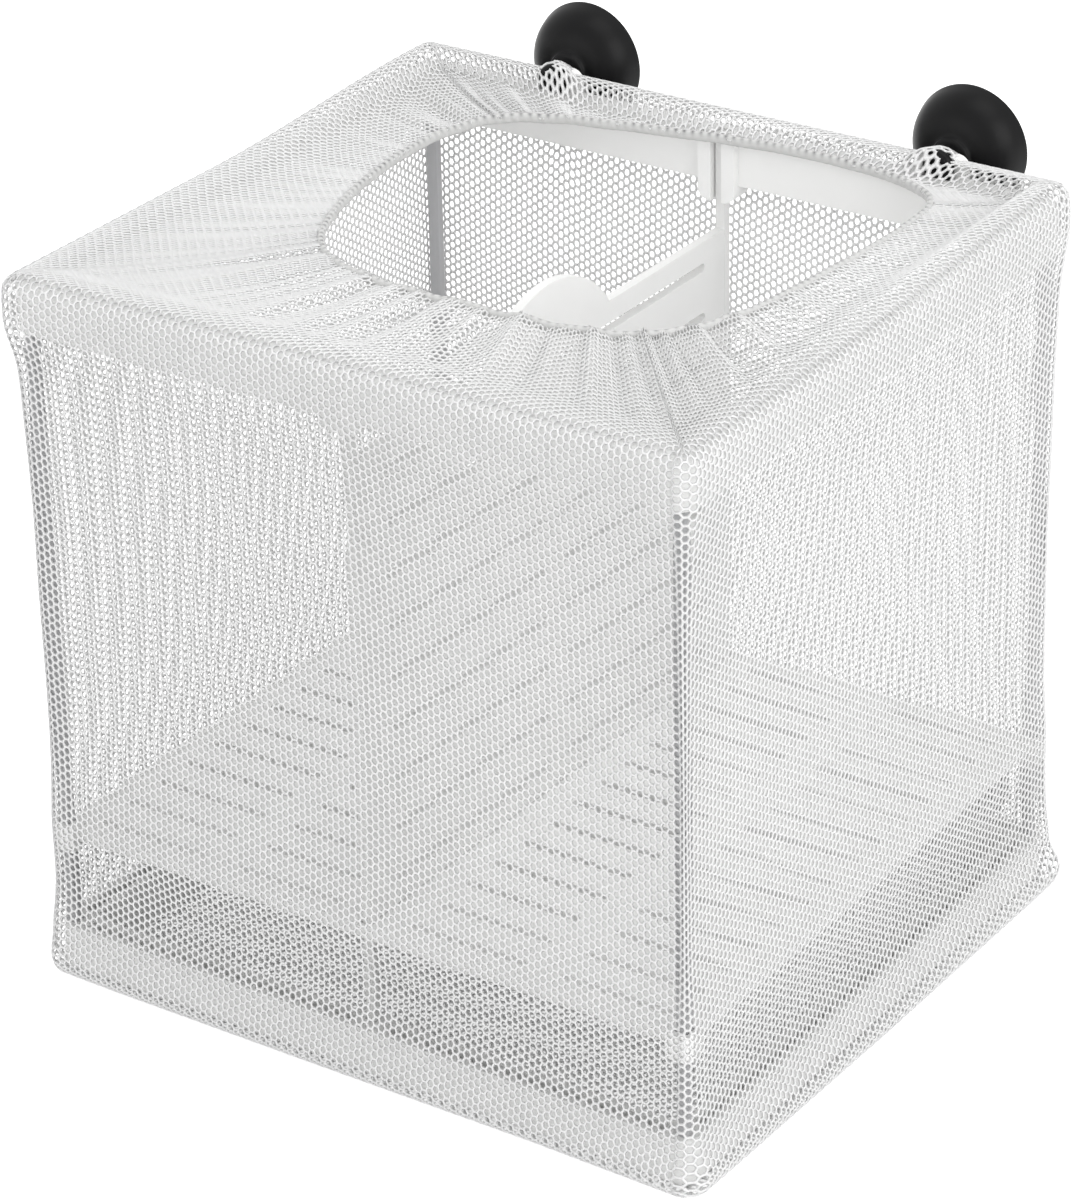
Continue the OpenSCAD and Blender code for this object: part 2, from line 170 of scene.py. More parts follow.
@dataclass(frozen=True)
class Moulded:
    """Moulded plastic or rubber: an even colour with faint flow clouds, a fine texture and a soft gloss."""

    name: str
    colour: str
    cloud: str
    roughness: float
    ior: float = 1.49
    specular: float = 0.5
    cloud_mm: float = 9.0
    cloud_detail: float = 3.0
    # the fine texture: its size, how it varies the roughness, and how deep and how strong it is
    grit_mm: float = 0.35
    grit_gloss: tuple[float, float] = (-0.06, 0.08)
    grit_depth_mm: float = 0.02
    grit_strength: float = 0.35

    def material(self) -> bpy.types.Material:
        """Builds the node material.

        Returns:
            The material.
        """
        mat, tree = new_material(self.name)
        place = add_node(tree, "ShaderNodeTexCoord").outputs["Object"]
        cloud = add_node(tree, "ShaderNodeTexNoise", {
            "Vector": place, "Scale": 1 / (self.cloud_mm * MM), "Detail": self.cloud_detail,
        })
        colour = add_node(tree, "ShaderNodeMix", {
            0: cloud.outputs["Fac"], 6: srgb(self.colour), 7: srgb(self.cloud),
        }, data_type="RGBA")
        grit = add_node(tree, "ShaderNodeTexNoise", {"Vector": place, "Scale": 1 / (self.grit_mm * MM)})
        smooth, coarse = (self.roughness + change for change in self.grit_gloss)
        gloss = add_node(tree, "ShaderNodeMapRange", {
            "Value": grit.outputs["Fac"], "To Min": smooth, "To Max": coarse,
        })
        bump = add_node(tree, "ShaderNodeBump", {
            "Height": grit.outputs["Fac"], "Strength": self.grit_strength,
            "Distance": self.grit_depth_mm * MM,
        })
        skin = add_node(tree, "ShaderNodeBsdfPrincipled", {
            "Base Color": colour.outputs[2], "Roughness": gloss.outputs[0], "IOR": self.ior,
            "Specular IOR Level": self.specular, "Normal": bump.outputs[0],
        })
        add_node(tree, "ShaderNodeOutputMaterial", {"Surface": skin.outputs[0]})
        return mat


@dataclass(frozen=True)
class Yarn:
    """Polyester net yarn: bright matt filaments that pass some light on, with a faint sheen."""

    name: str
    colour: str
    shade: str
    roughness: float
    sheen: float
    glow: float
    twist_mm: float = 0.6
    patch_mm: float = 22.0
    depth_mm: float = 0.04

    def material(self) -> bpy.types.Material:
        """Builds the node material.

        Returns:
            The material.
        """
        mat, tree = new_material(self.name)
        place = add_node(tree, "ShaderNodeTexCoord").outputs["Object"]
        patch = add_node(tree, "ShaderNodeTexNoise", {
            "Vector": place, "Scale": 1 / (self.patch_mm * MM), "Detail": 4.0,
        })
        colour = add_node(tree, "ShaderNodeMix", {
            0: patch.outputs["Fac"], 6: srgb(self.colour), 7: srgb(self.shade),
        }, data_type="RGBA")
        twist = add_node(tree, "ShaderNodeTexNoise", {
            "Vector": place, "Scale": 1 / (self.twist_mm * MM), "Detail": 1.0,
        })
        bump = add_node(tree, "ShaderNodeBump", {
            "Height": twist.outputs["Fac"], "Strength": 0.4, "Distance": self.depth_mm * MM,
        })
        skin = add_node(tree, "ShaderNodeBsdfPrincipled", {
            "Base Color": colour.outputs[2], "Roughness": self.roughness, "IOR": 1.5,
            "Sheen Weight": self.sheen, "Sheen Roughness": 0.4, "Normal": bump.outputs[0],
        })
        through = add_node(tree, "ShaderNodeBsdfTranslucent", {"Color": colour.outputs[2]})
        both = add_node(tree, "ShaderNodeMixShader", {
            0: self.glow, 1: skin.outputs[0], 2: through.outputs[0],
        })
        add_node(tree, "ShaderNodeOutputMaterial", {"Surface": both.outputs[0]})
        return mat


@dataclass(frozen=True)
class Gathered:
    """Net folded over elastic, greyed all over as painted shade, with dark dots that stand for stitches and
    are painted shade in the creases between ruffles, read from the piece's own attribute.
    """

    name: str
    crest_painted_grey: str
    stitch_crease_shade: str
    roughness: float
    knit_mm: float = 0.7

    def material(self) -> bpy.types.Material:
        """Builds the node material.

        Returns:
            The material.
        """
        mat, tree = new_material(self.name)
        place = add_node(tree, "ShaderNodeTexCoord").outputs["Object"]
        fold = add_node(tree, "ShaderNodeAttribute", attribute_name="ruffle").outputs["Fac"]
        knit = add_node(tree, "ShaderNodeTexVoronoi", {"Vector": place, "Scale": 1 / (self.knit_mm * MM)})
        # painted shade: grey over the whole hem, and darker dots for the stitches in the creases between
        # ruffles
        colour = add_node(tree, "ShaderNodeMix", {
            0: fold, 6: srgb(self.stitch_crease_shade), 7: srgb(self.crest_painted_grey),
        }, data_type="RGBA")
        bump = add_node(tree, "ShaderNodeBump", {
            "Height": knit.outputs["Distance"], "Strength": 0.5, "Distance": 0.1 * MM,
        })
        skin = add_node(tree, "ShaderNodeBsdfPrincipled", {
            "Base Color": colour.outputs[2], "Roughness": self.roughness, "IOR": 1.5,
            "Sheen Weight": 0.15, "Normal": bump.outputs[0],
        })
        add_node(tree, "ShaderNodeOutputMaterial", {"Surface": skin.outputs[0]})
        return mat


@dataclass
class Finishes:
    """Every finish of the box, each built once."""

    built: dict[Slot, bpy.types.Material] = field(init=False)
    # the divider's thin polypropylene, a greyer copy of the white plastic: painted shade that keeps its
    # brightly lit plate from clipping to white
    divider: Moulded = Moulded("moulded_polypropylene_white_painted_shade", "ECECEB", "E8E8E7", 0.38)

    def __post_init__(self) -> None:
        """Builds the five materials."""
        self.built = {
            # opaque white polypropylene, which looks milky and softly glossy
            Slot.PLASTIC: Moulded("moulded_polypropylene_white", "F8F8F7", "F4F4F3", 0.38).material(),
            # the same white plastic painted light grey as shade, since the posts stand in the net's shadow;
            # flat in tone along the straight bars
            Slot.POST: Moulded("moulded_polypropylene_white_painted_post_shade", "BEBEC0", "B6B6B8", 0.42).material(),
            # soft black rubber, which shows one wide dim highlight on each cup's back
            Slot.RUBBER: Moulded(
                "moulded_rubber_black", "0A0A0B", "101011", 0.36, ior=1.45, specular=0.2, cloud_mm=6.0,
                cloud_detail=4.0, grit_mm=0.25, grit_gloss=(-0.05, 0.07), grit_depth_mm=0.01,
                grit_strength=0.2,
            ).material(),
            # white polyester hexagonal net, which looks like fine porous cloth from afar
            Slot.NET: Yarn("polyester_net_yarn_white", "FBFBFB", "F6F6F6", 0.55, 0.2, 0.3).material(),
            # net gathered over elastic, a grey copy of the white net as painted shade, with a row of fine
            # dark stitches painted as shade in the creases between ruffles
            Slot.HEM: Gathered("gathered_elastic_white", "C8C8C7", "58585A", 0.6).material(),
        }

    def dress(self, piece: bpy.types.Object, slot: Slot) -> None:
        """Gives a piece the finish of one slot.

        Args:
            piece: The mesh object.
            slot: The record's slot that it takes its finish from.
        """
        piece.data.materials.clear()
        piece.data.materials.append(self.built[slot])


# ---- the net bag


@dataclass
class Mouth:
    """The elastic mouth's outline, drawn through given points in millimetres."""

    centre: tuple[float, float] = (5.0, 14.0)
    hem_w: float = 2.4
    steps: int = 24
    knots: tuple[tuple[float, float], ...] = (
        (-51.4, 26), (-50.5, 38), (-46.3, 49), (-36, 56), (-19, 60.5), (0, 64.3), (20, 65.8), (40, 66),
        (53, 62.8), (60, 56), (61.2, 42), (60.6, 25), (58.8, 5), (56, -12), (50, -25.5), (39, -34),
        (22, -36.8), (4, -37.2), (-14, -37), (-29, -33), (-39, -24.5), (-46, -8), (-50, 10),
    )
    angles: np.ndarray = field(init=False)
    radii: np.ndarray = field(init=False)
    path: np.ndarray = field(init=False)

    def __post_init__(self) -> None:
        """Smooths the points into a closed curve and lists its radius by angle."""
        k = np.array(self.knots)
        t = np.linspace(0, 1, self.steps, endpoint=False)[:, None]
        parts = []
        for i in range(len(k)):
            a, b, c, d = k[i - 1], k[i], k[(i + 1) % len(k)], k[(i + 2) % len(k)]
            bend, twist = 2 * a - 5 * b + 4 * c - d, 3 * b - a - 3 * c + d
            parts.append(0.5 * (2 * b + (c - a) * t + bend * t**2 + twist * t**3))
        self.path = np.concatenate(parts) * MM
        away = self.path - np.array(self.centre) * MM
        angle = np.arctan2(away[:, 1], away[:, 0])
        order = np.argsort(angle)
        self.angles, self.radii = angle[order], np.linalg.norm(away, axis=1)[order]

    def towards(self, x: np.ndarray, y: np.ndarray, out: float) -> tuple[np.ndarray, np.ndarray]:
        """Finds where the line from the mouth's centre to a point crosses the outline.

        Args:
            x: The points' x.
            y: The points' y.
            out: How far outside the outline to stop.

        Returns:
            The crossing's x and y.
        """
        cx, cy = self.centre[0] * MM, self.centre[1] * MM
        angle = np.arctan2(y - cy, x - cx)
        radius = np.interp(angle, self.angles, self.radii, period=2 * math.pi) + out
        return cx + radius * np.cos(angle), cy + radius * np.sin(angle)


@dataclass
class BagShape:
    """The surface that the net lies on: side walls held by the rings and posts, and the gathered cover.

    Every length is in millimetres; the methods take and give metres.
    """

    half_w: float = 84.1
    half_d: float = 76.6
    corner_r: float = 3.0
    columns: int = 432
    row: float = 1.945
    cup_x: tuple[float, float] = (-46.0, 54.0)
    cup_z: tuple[float, float] = (15.2, 171.3)
    # how far a cup's collar holds the net against its ear, and how firmly
    collar_reach: float = 8.0
    collar_grip: float = 1.6
    # the pucker over a cup's head: its height and half its width
    head_rise: float = 5.3
    head_half: float = 6.2
    # how far the edge is raised at the rear, and two soft steps, each with its start and length: that rise
    # comes in towards the rear, and every rise of the edge comes in up the wall
    rear_rise: float = 3.0
    rear_step: tuple[float, float] = (-5, 75)
    lift_step: tuple[float, float] = (120, 46)
    # where the net hangs free, above the floor and below it: start, height and sag
    upper_bay: tuple[float, float, float] = (40, 114, 1.5)
    lower_bay: tuple[float, float, float] = (15, 19, 0.5)
    ripple_h: float = 0.16
    # the cover's height at the ring, how deep it sags halfway to the hem, and how low it hangs at the hem
    cover_z: float = 170
    cover_sag: float = 1.1
    hem_drop: float = 0.35
    # how far the net may be placed past the hem's edge, as a share of the way to it
    most_way: float = 1.15
    # the soft steps beyond the ring's edge where the cover comes free of the bar, and where its rise ends
    free_step: tuple[float, float] = (3.5, 7)
    level_step: tuple[float, float] = (3.2, 5.5)
    # the folds' height, the power by which they grow towards the hem, the share of it that the elastic takes
    # back, and the share of the way where that starts
    fold_h: float = 1.9
    fold_power: float = 1.2
    flattened: float = 0.55
    flat_from: float = 0.72
    # the folds' least share, the soft steps in y and x towards the front right, where they are highest,
    # and the rear left corner, where they are high too: its x and y, its reach in x and y, and its share
    least_fold: float = 0.2
    front_step: tuple[float, float] = (10, -35)
    right_step: tuple[float, float] = (-55, 35)
    corner_fold: tuple[float, float, float, float, float] = (-58, 58, 24, 20, 0.8)
    # the folds at the mouth: number in a turn, weight, and how often and how strongly they bunch together
    gathers: tuple[tuple[int, float, int, float], ...] = (
        (83, 0.22, 5, 1.7), (47, 0.50, 7, 1.3), (27, 0.55, 3, 0.9), (117, 0.10, 0, 0.0),
    )
    # how far the net stands out at the upper and the lower ring, by its column's share of the way round
    swell: tuple[tuple[float, float, float], ...] = (
        (0.0, 1.5, 0.9), (0.03, 0.4, 1.2), (0.12, 0.1, 1.3), (0.2, 0.2, 1.1), (0.26, 0.3, 1.9),
        (0.38, 0.3, 2.8), (0.48, 0.6, 2.9), (0.51, 0.6, 2.6), (0.62, 0.3, 1.2), (0.75, 0.7, 0.9),
        (0.88, 0.6, 0.8), (0.97, 1.2, 0.7),
    )
    # the soft steps in which the swell at the upper ring comes and goes with height, and in which that at the
    # lower ring comes along the net and goes with height
    top_steps: tuple[tuple[float, float], tuple[float, float]] = ((148, 12), (167, 4))
    foot_steps: tuple[tuple[float, float], tuple[float, float]] = ((0, 2.6), (3.5, 8))
    # outward offset and height of the net at the corners, from under the lower ring to the upper ring's top
    profile: tuple[tuple[float, float], ...] = (
        (-3.6, 0.4), (-1.6, 0.4), (0.2, 1.0), (1.1, 3.0), (1.3, 6), (1.3, 10), (1.0, 14), (0.4, 18),
        (-0.1, 24), (-0.25, 31), (-0.25, 39), (-0.7, 46), (-1.1, 53), (-1.3, 62), (-1.3, 76), (-1.3, 95),
        (-1.2, 115), (-0.9, 132), (-0.5, 145), (0.1, 153.5), (0.5, 158), (0.6, 163), (0.3, 167),
        (-0.7, 169.3), (-2.8, 170),
    )
    # points on a corner's arc and up the side, and how many of the latter are averaged each way
    arc_steps: int = 33
    side_steps: int = 1200
    side_soft: int = 15
    seed: int = 7
    mouth: Mouth = field(default_factory=Mouth)

    def __post_init__(self) -> None:
        """Tabulates the plan outline and the side profile by their lengths."""
        w, d, r = self.half_w - self.corner_r, self.half_d - self.corner_r, self.corner_r
        points, normals = [], []
        corners = (
            (-w, -d, 225, 270), (w, -d, 270, 360), (w, d, 0, 90), (-w, d, 90, 180), (-w, -d, 180, 225),
        )
        for cx, cy, a0, a1 in corners:
            for a in np.radians(np.linspace(a0, a1, self.arc_steps)):
                normals.append((math.cos(a), math.sin(a)))
                points.append((cx + r * math.cos(a), cy + r * math.sin(a)))
        self.plan, self.facing = np.array(points) * MM, np.array(normals)
        self.plan_at = np.concatenate([[0], np.cumsum(np.linalg.norm(np.diff(self.plan, axis=0), axis=1))])
        knots = np.array(self.profile)
        at = np.concatenate([[0], np.cumsum(np.linalg.norm(np.diff(knots, axis=0), axis=1))])
        fine = np.linspace(0, at[-1], self.side_steps)
        line = np.stack([np.interp(fine, at, knots[:, i]) for i in (0, 1)], 1)
        span = self.side_soft
        weights = np.hanning(2 * span + 1)
        weights /= weights.sum()
        padded = np.concatenate([np.repeat(line[:1], span, 0), line, np.repeat(line[-1:], span, 0)])
        self.side = np.stack([np.convolve(padded[:, i], weights, "valid") for i in (0, 1)], 1) * MM
        self.side_at = np.concatenate([[0], np.cumsum(np.linalg.norm(np.diff(self.side, axis=0), axis=1))])
        self.phases = np.random.default_rng(self.seed).uniform(0, 2 * math.pi, 12)

    @property
    def wall_rows(self) -> int:
        """How many rows of cells the side walls have."""
        return int(self.side_at[-1] / (self.row * MM))

    def round_plan(self, column: np.ndarray) -> tuple[np.ndarray, np.ndarray, np.ndarray, np.ndarray]:
        """Finds a column's place on the plan outline and which way it faces.

        Args:
            column: Column numbers, whole or not.

        Returns:
            x, y and the outward direction's x and y.
        """
        s = (column % self.columns) / self.columns * self.plan_at[-1]
        x, y = (np.interp(s, self.plan_at, self.plan[:, i]) for i in (0, 1))
        nx, ny = (np.interp(s, self.plan_at, self.facing[:, i]) for i in (0, 1))
        size = np.hypot(nx, ny)
        return x, y, nx / size, ny / size

    def near_cup(self, x: np.ndarray, z: np.ndarray, ny: np.ndarray) -> np.ndarray:
        """Finds how much the net is held flat against an ear by a cup's collar.

        Args:
            x: The points' x.
            z: The points' height.
            ny: The y of the direction that the net faces.

        Returns:
            From 0, free, to 1, held flat.
        """
        held = np.zeros_like(x)
        for cx in self.cup_x:
            for cz in self.cup_z:
                away = ((x / MM - cx) ** 2 + (z / MM - cz) ** 2) / (2 * self.collar_reach**2)
                held = np.maximum(held, np.clip(self.collar_grip * np.exp(-away), 0, 1))
        return held * (ny > 0.9)

    def over_head(self, x: np.ndarray, ny: np.ndarray) -> np.ndarray:
        """How far the net's top edge is lifted over the ears and the cups' heads, in metres."""
        away = np.min([np.abs(x / MM - cx) for cx in self.cup_x], axis=0)
        return self.head_rise * MM * np.exp(-((away / self.head_half) ** 2)) * (ny > 0.5)

    def stand_out(self, column: np.ndarray, z: np.ndarray, run: np.ndarray) -> np.ndarray:
        """Finds how far the net stands out at the rings beyond its profile.

        Args:
            column: Column numbers.
            z: The points' height.
            run: The way up the net from under the lower ring.

        Returns:
            The distance outwards, in metres.
        """
        knots = np.array(self.swell)
        share = (column % self.columns) / self.columns
        top, foot = (np.interp(share, knots[:, 0], knots[:, i], period=1) for i in (1, 2))
        (top_in, top_out), (foot_in, foot_out) = self.top_steps, self.foot_steps
        high = ramp(z, *top_in) * (1 - ramp(z, *top_out))
        low = ramp(run, *foot_in) * (1 - ramp(z, *foot_out))
        return (top * high + foot * low) * MM

    def folds(self, column: np.ndarray, x: np.ndarray, y: np.ndarray) -> np.ndarray:
        """Finds how high the gathers are, before they fade towards the ring.

        Args:
            column: Column numbers.
            x: The points' x.
            y: The points' y.

        Returns:
            The height, in metres, which is below zero between two folds.
        """
        a = column / self.columns * 2 * math.pi
        wave = sum(
            weight * np.sin(count * a + start + bunch * np.sin(times * a + shift))
            for (count, weight, times, bunch), start, shift
            in zip(self.gathers, self.phases[0::2], self.phases[1::2])
        )
        front = ramp(y, *self.front_step) * ramp(x, *self.right_step)
        cx, cy, wide, deep, share = self.corner_fold
        corner = share * np.exp(-(((x / MM - cx) / wide) ** 2 + ((y / MM - cy) / deep) ** 2))
        least = self.least_fold
        return self.fold_h * MM * wave * np.clip(least + (1 - least) * front + corner, 0, 1)

    def point(self, column: np.ndarray, row: np.ndarray) -> np.ndarray:
        """Places a point of the net.

        Args:
            column: Column numbers, whole or not, anticlockwise from the front left corner.
            row: Row numbers, whole or not, up the wall and on over the cover.

        Returns:
            One row of x, y and z for each point.
        """
        x, y, nx, ny = self.round_plan(column)
        run = row * self.row * MM
        wall = np.clip(run, 0, self.side_at[-1])
        z = np.interp(wall, self.side_at, self.side[:, 1])
        off = np.interp(wall, self.side_at, self.side[:, 0]) + self.slack(x, y, z, np.abs(nx) < np.abs(ny))
        off = off + self.stand_out(column, z, run)
        off = off - np.maximum(off, 0) * self.near_cup(x, z, ny)
        rear = self.rear_rise * MM * ramp(y, *self.rear_step)
        lift = np.maximum(self.over_head(x, ny), rear)
        z = z + lift * ramp(z, *self.lift_step)
        ex, ey = x + nx * off, y + ny * off
        beyond = np.maximum(run - self.side_at[-1], 0)
        mx, my = self.mouth.towards(ex, ey, 0.5 * self.mouth.hem_w * MM)
        length = np.maximum(np.hypot(mx - ex, my - ey), 1e-6)
        w = np.clip(beyond / length, 0, self.most_way)
        px, py = ex + (mx - ex) * w, ey + (my - ey) * w
        on_cover = self.cover_height(lift, self.folds(column, px, py), beyond, w)
        return np.stack([px, py, np.where(beyond > 0, on_cover, z)], 1)

    def slack(self, x: np.ndarray, y: np.ndarray, z: np.ndarray, along_x: np.ndarray) -> np.ndarray:
        """Finds how far the net stands out where it hangs free between the rings.

        Args:
            x: The points' x.
            y: The points' y.
            z: The points' height.
            along_x: True on the front and rear walls.

        Returns:
            The distance outwards, in metres, which is below zero where the net sags in.
        """
        t = np.where(along_x, x / (self.half_w * MM), y / (self.half_d * MM))
        middle = np.clip(1 - t * t, 0, 1)
        high, low = (
            np.sin(math.pi * np.clip((z / MM - start) / tall, 0, 1))
            for start, tall, _ in (self.upper_bay, self.lower_bay)
        )
        # waves of about 30 mm along x and 37 mm along y
        ripple = np.sin(x / MM * 0.21 + z / MM * 0.05 + 1.3) * np.sin(y / MM * 0.17 + z / MM * 0.09)
        sag = self.upper_bay[2] * middle * high + self.lower_bay[2] * middle * low
        return (self.ripple_h * ripple * (high + low) - sag) * MM

    def cover_height(
        self, lift: np.ndarray, fold: np.ndarray, beyond: np.ndarray, w: np.ndarray
    ) -> np.ndarray:
        """Finds the height of the cover between the upper ring and the hem.

        Args:
            lift: How far the ring's edge is raised there.
            fold: The full height of the gathers there.
            beyond: The distance from the ring's edge towards the mouth.
            w: The share of the way to the hem.

        Returns:
            The height, in metres.
        """
        way, free = np.clip(w, 0, 1), ramp(beyond, *self.free_step)
        taken = self.flattened * smoothstep((w - self.flat_from) / (1 - self.flat_from))
        grown = way**self.fold_power * (1 - taken)
        dip = -self.cover_sag * MM * np.sin(math.pi * way) * free - self.hem_drop * MM * w * free
        level = self.cover_z * MM + lift * (1 - ramp(beyond, *self.level_step))
        return level + dip + fold * grown * free

    def crowded(self, column: np.ndarray, row: np.ndarray) -> np.ndarray:
        """Finds how far the threads are crowded together, which is only in the puckers over the cups' heads.

        Args:
            column: Column numbers.
            row: Row numbers.

        Returns:
            From 0, lying flat, to 1, crowded.
        """
        x, _, _, ny = self.round_plan(column)
        near = self.over_head(x, ny) / (self.head_rise * MM)
        return smoothstep(near * 1.3) * smoothstep((row * self.row - self.side_at[-1] / MM + 14) / 5)

    def cover_length(self, column: np.ndarray) -> np.ndarray:
        """Measures the way from the upper ring's edge to the hem.

        Args:
            column: Column numbers.

        Returns:
            Each column's length, in metres.
        """
        top = self.side_at[-1] / (self.row * MM)
        start = self.point(column, np.full_like(column, top))
        mx, my = self.mouth.towards(start[:, 0], start[:, 1], 0.5 * self.mouth.hem_w * MM)
        return np.hypot(mx - start[:, 0], my - start[:, 1])


@dataclass
class FlatShape:
    """The flat net across the bottom, seen from below."""

    half_w: float = 81.4
    half_d: float = 73.9
    corner_r: float = 2.0
    column: float = 1.472
    row: float = 1.945

    def point(self, column: np.ndarray, row: np.ndarray) -> np.ndarray:
        """Places a point of the bottom net.

        Args:
            column: Column numbers, from right to left.
            row: Row numbers, from front to rear.

        Returns:
            One row of x, y and z for each point.
        """
        x, y = -column * self.column, row * self.row
        away = np.minimum(self.half_w - np.abs(x), self.half_d - np.abs(y))
        rise = 0.5 * smoothstep((away - 6) / 25) * (1 + 0.6 * np.sin(x * 0.11 + 1) * np.sin(y * 0.13))
        return np.stack([x, y, 0.4 + np.maximum(rise, 0)], 1) * MM

    def crowded(self, column: np.ndarray, row: np.ndarray) -> np.ndarray:
        """How far the threads are crowded together, which is nowhere here."""
        return np.zeros_like(column)

    def cells(self) -> np.ndarray:
        """Lists the cells whose middle lies inside the outline.

        Returns:
            Column and row number of each cell.
        """
        half_i, half_j = int(self.half_w / self.column) + 1, int(self.half_d / self.row) + 1
        i, j = np.meshgrid(np.arange(-half_i, half_i + 1), np.arange(-half_j, half_j + 1), indexing="ij")
        i, j = i.ravel(), j.ravel()
        x, y = np.abs(i * self.column), np.abs((j + 0.5 * (i % 2)) * self.row)
        dx = np.maximum(x - self.half_w + self.corner_r, 0)
        dy = np.maximum(y - self.half_d + self.corner_r, 0)
        inside = np.hypot(dx, dy) <= self.corner_r
        return np.stack([i[inside], j[inside]], 1)


@dataclass
class HexNet:
    """Knits a closed mesh of three-sided threads round hexagonal holes."""

    pitch: float = 1.472
    row: float = 1.945
    # the holes' width against the pitch, where the net is neither stretched nor gathered, and its limits
    open_share: float = 0.62
    least_open: float = 0.3
    most_open: float = 0.68
    # how much smaller the holes are in a pucker
    crowding: float = 0.3
    thread_h: float = 0.4
    # the share of the outline that the threads' own surface comes near to
    cloth_share: float = 0.7
    # a hole's six corners, on a grid of a third of a column by half a row
    corners: tuple[tuple[int, int], ...] = ((2, 0), (1, 1), (-1, 1), (-2, 0), (-1, -1), (1, -1))

    def knit(self, name: str, cells: np.ndarray, shape: Any, wrap: int = 0) -> bpy.types.Object:
        """Knits the cells into one mesh.

        Args:
            name: The piece's name.
            cells: Column and row number of each hole.
            shape: The surface, whose point method places a column and row.
            wrap: The number of columns after which the net meets itself, or 0.

        Returns:
            The net, as a closed mesh with its threads' ridges outwards.
        """
        middle = np.stack([3 * cells[:, 0], 2 * cells[:, 1] + cells[:, 0] % 2], 1)
        knot, knots = self.number_knots(middle, wrap)
        hole = self.hole_corners(middle / np.array([3, 2]), shape)
        n, h = len(knots), len(hole)
        rim = n + np.arange(h).reshape(-1, 6)
        following, rim_next = np.roll(knot, -1, axis=1), np.roll(rim, -1, axis=1)
        twin = self.twins(knot, following, n)
        a, b, a1, b1 = rim.ravel(), rim_next.ravel(), knot.ravel(), following.ravel()
        inner = np.flatnonzero(twin > np.arange(len(twin)))
        edge = np.flatnonzero(twin < 0)
        border = np.unique(np.concatenate([a1[edge], b1[edge]]))
        low = np.full(n, -1)
        low[border] = n + h + np.arange(len(border))
        quads = np.concatenate([
            # the threads' sloping tops, from their ridges to the holes' rims
            np.stack([knot, following, rim_next, rim], -1).reshape(-1, 4),
            # their undersides, between two holes
            np.stack([a[inner], b[inner], a[twin[inner]], b[twin[inner]]], 1),
            # the underside and the upright wall along the net's border
            np.stack([a[edge], b[edge], low[b1[edge]], low[a1[edge]]], 1),
            np.stack([b1[edge], a1[edge], low[a1[edge]], low[b1[edge]]], 1),
        ])
        flat = np.concatenate([knots, hole, knots[border]])
        lift = np.concatenate([np.full(n, 0.5), np.full(h + len(border), -0.5)]) * self.thread_h * MM
        points = self.raised(flat, lift, shape)
        return mesh_object(name, points, [quads, self.knot_undersides(knot, rim, low)])

    def number_knots(self, middle: np.ndarray, wrap: int) -> tuple[np.ndarray, np.ndarray]:
        """Numbers the knots, which up to three cells share.

        Args:
            middle: Each cell's middle, on a grid of a third of a column by half a row.
            wrap: The number of columns after which the net meets itself, or 0.

        Returns:
            The numbers of each cell's six knots, and each knot's column and row.
        """
        at = middle[:, None, :] + np.array(self.corners)[None]
        if wrap:
            at[:, :, 0] %= 3 * wrap
        stride = 1 << 20
        packed = at[:, :, 0] * stride + at[:, :, 1] + stride // 2
        keys, knot = np.unique(packed.ravel(), return_inverse=True)
        knots = np.stack([keys // stride / 3, (keys % stride - stride // 2) / 2], 1)
        return knot.reshape(-1, 6), knots

    def hole_corners(self, centre: np.ndarray, shape: Any) -> np.ndarray:
        """Finds the corners of each hole, which stays the same real size where the net is stretched.

        Args:
            centre: Each cell's column and row.
            shape: The surface.

        Returns:
            Column and row of every hole's six corners, one after another.
        """
        across, along = self.spacing(centre, shape)
        share = np.stack([
            np.clip(1 - (1 - self.open_share) * size * MM / real, self.least_open, self.most_open)
            for size, real in ((self.pitch, across), (self.row, along))
        ], 1) * (1 - self.crowding * shape.crowded(centre[:, 0], centre[:, 1]))[:, None]
        ring = np.array(self.corners) / np.array([3, 2])
        return (centre[:, None] + ring[None] * share[:, None]).reshape(-1, 2)

    @staticmethod
    def twins(knot: np.ndarray, following: np.ndarray, n: int) -> np.ndarray:
        """Finds which side of the next cell each cell's side meets.

        Args:
            knot: The six knots of each cell, where its sides start.
            following: The six knots where its sides end.
            n: The number of knots.

        Returns:
            The number of the side that each side meets, or -1 at the border.
        """
        mine, other = (knot * n + following).ravel(), (following * n + knot).ravel()
        order = np.argsort(mine)
        spot = np.minimum(np.searchsorted(mine[order], other), len(mine) - 1)
        return np.where(mine[order][spot] == other, order[spot], -1)

    @staticmethod
    def knot_undersides(knot: np.ndarray, rim: np.ndarray, low: np.ndarray) -> np.ndarray:
        """Closes the underside of every knot with a triangle.

        Args:
            knot: The knots of each cell.
            rim: The hole's corners beside them.
            low: The lower point under each knot on the border.

        Returns:
            The triangles.
        """
        fans = []
        for trio in ((0, 4, 2), (5, 3, 1)):
            around = np.full((len(low), 3), -1)
            for place, k in enumerate(trio):
                around[knot[:, k], place] = rim[:, k]
            count = (around >= 0).sum(1)
            fans.append(around[count == 3])
            part = np.flatnonzero(count == 2)
            for gap in range(3):
                pick = part[around[part, gap] < 0]
                next_two = around[pick, (gap + 1) % 3], around[pick, (gap + 2) % 3]
                fans.append(np.stack([*next_two, low[pick]], 1))
        return np.concatenate(fans)

    @staticmethod
    def spacing(centre: np.ndarray, shape: Any) -> tuple[np.ndarray, np.ndarray]:
        """Measures how wide one column and one row truly are at each cell.

        Args:
            centre: Each cell's column and row.
            shape: The surface.

        Returns:
            The column's and the row's width, in metres.
        """
        c, r = centre[:, 0], centre[:, 1]
        across = np.linalg.norm(shape.point(c + 0.5, r) - shape.point(c - 0.5, r), axis=1)
        along = np.linalg.norm(shape.point(c, r + 0.5) - shape.point(c, r - 0.5), axis=1)
        return np.maximum(across, 1e-5), np.maximum(along, 1e-5)

